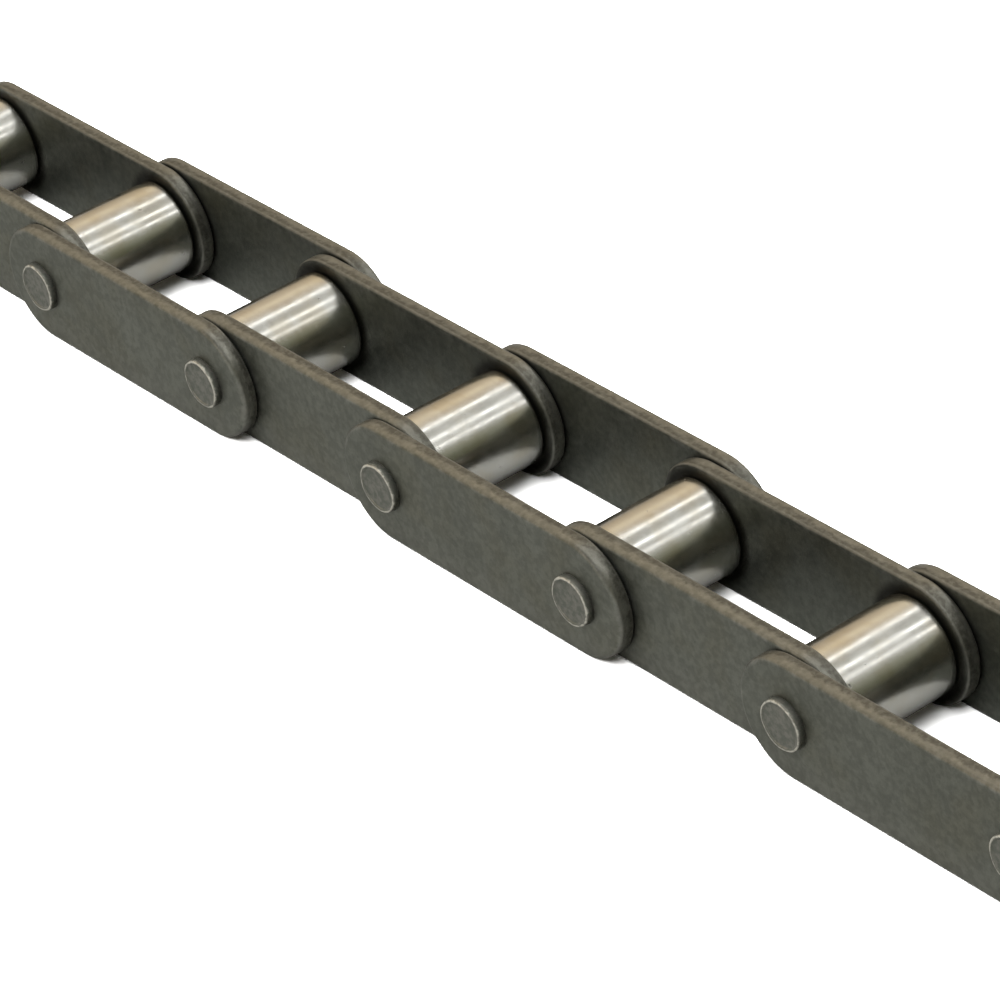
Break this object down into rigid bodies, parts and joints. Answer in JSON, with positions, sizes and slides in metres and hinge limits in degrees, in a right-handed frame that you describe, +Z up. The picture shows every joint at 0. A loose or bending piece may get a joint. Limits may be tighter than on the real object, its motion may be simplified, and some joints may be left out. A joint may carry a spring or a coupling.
{
  "type": "conveyor chain length",
  "caption": "Straight length of roller conveyor chain: flat side plates, free rollers on bushes and riveted pins, for carrying or driving over toothed wheels.",
  "frame": {"origin": "on the surface the chain lies on, under the middle of its length and width", "axes": "+X along the chain, +Y across it along the pins towards the rear plates, +Z up from the plates' lower edges"},
  "size_m": [0.4924, 0.0482, 0.0286],
  "materials": {
    "plate_steel": "dark grey heat-treated oxide, satin, lighter along worn edges",
    "bush_steel": "dark hardened steel, satin",
    "roller_steel": "bright turned steel with fine rings and small nicks",
    "pin_steel": "dark steel, heads burnished by riveting"
  },
  "bodies": {
    "roller_link_1": {"inner_plate_front_1": "plate_steel", "inner_plate_rear_1": "plate_steel", "bush_1": "bush_steel", "bush_2": "bush_steel"},
    "roller_link_2": {"inner_plate_front_2": "plate_steel", "inner_plate_rear_2": "plate_steel", "bush_3": "bush_steel", "bush_4": "bush_steel"},
    "roller_link_3": {"inner_plate_front_3": "plate_steel", "inner_plate_rear_3": "plate_steel", "bush_5": "bush_steel", "bush_6": "bush_steel"},
    "roller_link_4": {"inner_plate_front_4": "plate_steel", "inner_plate_rear_4": "plate_steel", "bush_7": "bush_steel", "bush_8": "bush_steel"},
    "pin_link_1": {"outer_plate_front_1": "plate_steel", "outer_plate_rear_1": "plate_steel", "pin_1": "pin_steel", "pin_2": "pin_steel"},
    "pin_link_2": {"outer_plate_front_2": "plate_steel", "outer_plate_rear_2": "plate_steel", "pin_3": "pin_steel", "pin_4": "pin_steel"},
    "pin_link_3": {"outer_plate_front_3": "plate_steel", "outer_plate_rear_3": "plate_steel", "pin_5": "pin_steel", "pin_6": "pin_steel"},
    "free_roller_1": {"roller_1": "roller_steel"},
    "free_roller_2": {"roller_2": "roller_steel"},
    "free_roller_3": {"roller_3": "roller_steel"},
    "free_roller_4": {"roller_4": "roller_steel"},
    "free_roller_5": {"roller_5": "roller_steel"},
    "free_roller_6": {"roller_6": "roller_steel"},
    "free_roller_7": {"roller_7": "roller_steel"},
    "free_roller_8": {"roller_8": "roller_steel"}
  },
  "joints": [
    {"name": "pin_4_pivot", "type": "hinge", "parent": "pin_link_2", "child": "roller_link_3", "pos_m": [0.03313, 0, 0.0143], "axis": [0, -1, 0], "range_deg": [-150, 150]},
    {"name": "pin_5_pivot", "type": "hinge", "parent": "roller_link_3", "child": "pin_link_3", "pos_m": [0.0994, 0, 0.0143], "axis": [0, 1, 0], "range_deg": [-150, 150]},
    {"name": "pin_6_pivot", "type": "hinge", "parent": "pin_link_3", "child": "roller_link_4", "pos_m": [0.16567, 0, 0.0143], "axis": [0, -1, 0], "range_deg": [-150, 150]},
    {"name": "pin_3_pivot", "type": "hinge", "parent": "pin_link_2", "child": "roller_link_2", "pos_m": [-0.03313, 0, 0.0143], "axis": [0, -1, 0], "range_deg": [-150, 150]},
    {"name": "pin_2_pivot", "type": "hinge", "parent": "roller_link_2", "child": "pin_link_1", "pos_m": [-0.0994, 0, 0.0143], "axis": [0, 1, 0], "range_deg": [-150, 150]},
    {"name": "pin_1_pivot", "type": "hinge", "parent": "pin_link_1", "child": "roller_link_1", "pos_m": [-0.16567, 0, 0.0143], "axis": [0, -1, 0], "range_deg": [-150, 150]},
    {"name": "roller_1_spin", "type": "hinge", "parent": "roller_link_1", "child": "free_roller_1", "pos_m": [-0.23195, 0, 0.0143], "axis": [0, 1, 0], "continuous": true},
    {"name": "roller_2_spin", "type": "hinge", "parent": "roller_link_1", "child": "free_roller_2", "pos_m": [-0.16567, 0, 0.0143], "axis": [0, 1, 0], "continuous": true},
    {"name": "roller_3_spin", "type": "hinge", "parent": "roller_link_2", "child": "free_roller_3", "pos_m": [-0.0994, 0, 0.0143], "axis": [0, 1, 0], "continuous": true},
    {"name": "roller_4_spin", "type": "hinge", "parent": "roller_link_2", "child": "free_roller_4", "pos_m": [-0.03313, 0, 0.0143], "axis": [0, 1, 0], "continuous": true},
    {"name": "roller_5_spin", "type": "hinge", "parent": "roller_link_3", "child": "free_roller_5", "pos_m": [0.03313, 0, 0.0143], "axis": [0, 1, 0], "continuous": true},
    {"name": "roller_6_spin", "type": "hinge", "parent": "roller_link_3", "child": "free_roller_6", "pos_m": [0.0994, 0, 0.0143], "axis": [0, 1, 0], "continuous": true},
    {"name": "roller_7_spin", "type": "hinge", "parent": "roller_link_4", "child": "free_roller_7", "pos_m": [0.16567, 0, 0.0143], "axis": [0, 1, 0], "continuous": true},
    {"name": "roller_8_spin", "type": "hinge", "parent": "roller_link_4", "child": "free_roller_8", "pos_m": [0.23195, 0, 0.0143], "axis": [0, 1, 0], "continuous": true}
  ]
}
